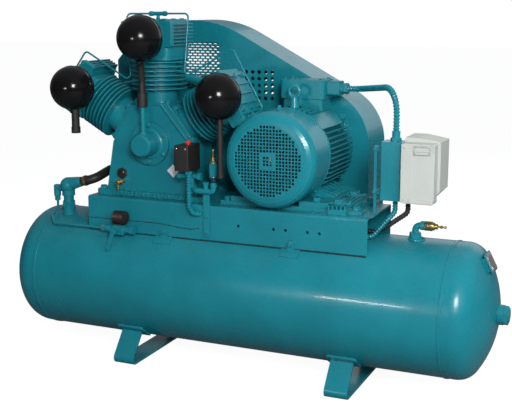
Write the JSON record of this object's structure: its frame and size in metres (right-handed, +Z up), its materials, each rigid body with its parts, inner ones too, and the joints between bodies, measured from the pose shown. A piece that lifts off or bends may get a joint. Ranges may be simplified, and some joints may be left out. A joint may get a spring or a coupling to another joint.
{
  "type": "belt-driven piston air compressor",
  "caption": "Three-cylinder W-type piston air compressor, belt driven by an electric motor, on a horizontal air receiver with controls and pipework.",
  "frame": {"origin": "on the floor, at the centre of the four floor bolt holes in the two feet", "axes": "+X along the receiver towards the end with the inspection plug and the control box, +Y towards the belt guard, +Z up"},
  "size_m": [1.824, 0.703, 1.2477],
  "materials": {
    "teal_paint": "glossy enamel",
    "teal_casting": "glossy enamel over cast surface",
    "teal_conduit": "glossy enamel, ribbed",
    "black_gloss": "high gloss",
    "black_rubber": "satin",
    "black_plastic": "matte moulded",
    "red_plastic": "gloss",
    "grey_plastic": "fine satin moulded",
    "brass": "machined",
    "plate": "brushed",
    "steel": "machined",
    "iron": "machined cast",
    "alloy": "cast"
  },
  "bodies": {
    "machine": {"air_filters": "black_gloss", "ball_valve_body": "teal_casting", "base_frame": "teal_paint", "bearing_covers": "teal_casting", "bearings": "steel", "belt_guard_body": "teal_paint", "belt_guard_cover": "teal_paint", "brass_fittings": "brass", "breather_pipe": "teal_paint", "cable_glands": "teal_casting", "check_valve": "teal_casting", "conduits": "teal_conduit", "connecting_rods": "steel", "control_box": "grey_plastic", "control_bracket": "teal_paint", "control_cover": "grey_plastic", "crankcase": "teal_casting", "crankshaft": "steel", "cylinder_heads": "teal_casting", "cylinders": "teal_casting", "delivery_hose": "black_rubber", "delivery_pipes": "teal_casting", "fan_cover": "teal_paint", "feet": "teal_paint", "frame_bolts": "teal_paint", "intake_hoses": "black_rubber", "intake_pipes": "teal_casting", "motor_feet": "teal_casting", "motor_housing": "teal_casting", "motor_shields": "teal_casting", "nameplate": "plate", "pilot_line": "teal_paint", "piston_rings": "steel", "pistons": "alloy", "pressure_switch": "black_plastic", "pump_bolts": "teal_casting", "relief_bodies": "teal_casting", "slide_rails": "teal_paint", "stator": "steel", "support_brackets": "teal_paint", "switch_pipework": "teal_paint", "tank_ends": "teal_paint", "tank_plugs": "teal_paint", "tank_shell": "teal_paint", "tank_sockets": "teal_paint", "terminal_box": "teal_paint", "unloader_tee": "teal_paint", "unloader_tubes": "teal_paint", "v_belts": "black_rubber", "valve_coil": "black_plastic", "valve_plates": "teal_casting"},
    "flywheel": {"flywheel": "iron"},
    "motor_rotor": {"rotor": "steel", "motor_shaft": "steel", "motor_pulley": "iron", "cooling_fan": "black_plastic"},
    "valve_lever": {"ball_valve_lever": "teal_casting"},
    "switch_knob_body": {"switch_knob": "red_plastic"},
    "front_relief_stem": {"relief_stem_front": "brass"},
    "tank_relief_stem": {"relief_stem_tank": "brass"}
  },
  "joints": [
    {"name": "flywheel_spin", "type": "hinge", "parent": "machine", "child": "flywheel", "pos_m": [-0.345, 0.348, 0.788], "axis": [0, 1, 0], "continuous": true},
    {"name": "motor_spin", "type": "hinge", "parent": "machine", "child": "motor_rotor", "pos_m": [0.15, 0.1, 0.768], "axis": [0, 1, 0], "continuous": true},
    {"name": "valve_lever_turn", "type": "hinge", "parent": "machine", "child": "valve_lever", "pos_m": [-0.432, -0.203, 0.486], "axis": [0, 1, 0], "range_deg": [0, 90]},
    {"name": "switch_knob_push", "type": "slide", "parent": "machine", "child": "switch_knob_body", "axis": [0, 0, 1], "range_m": [-0.003, 0]},
    {"name": "front_relief_pull", "type": "slide", "parent": "machine", "child": "front_relief_stem", "axis": [0, 0, 1], "range_m": [0, 0.004], "stiffness_N_per_m": 800, "springref_m": -0.001},
    {"name": "tank_relief_pull", "type": "slide", "parent": "machine", "child": "tank_relief_stem", "axis": [1, 0, 0], "range_m": [0, 0.004], "stiffness_N_per_m": 800, "springref_m": -0.001}
  ],
  "couplings": [
    {"joint": "motor_spin", "follows": "flywheel_spin", "ratio": 2.5}
  ]
}
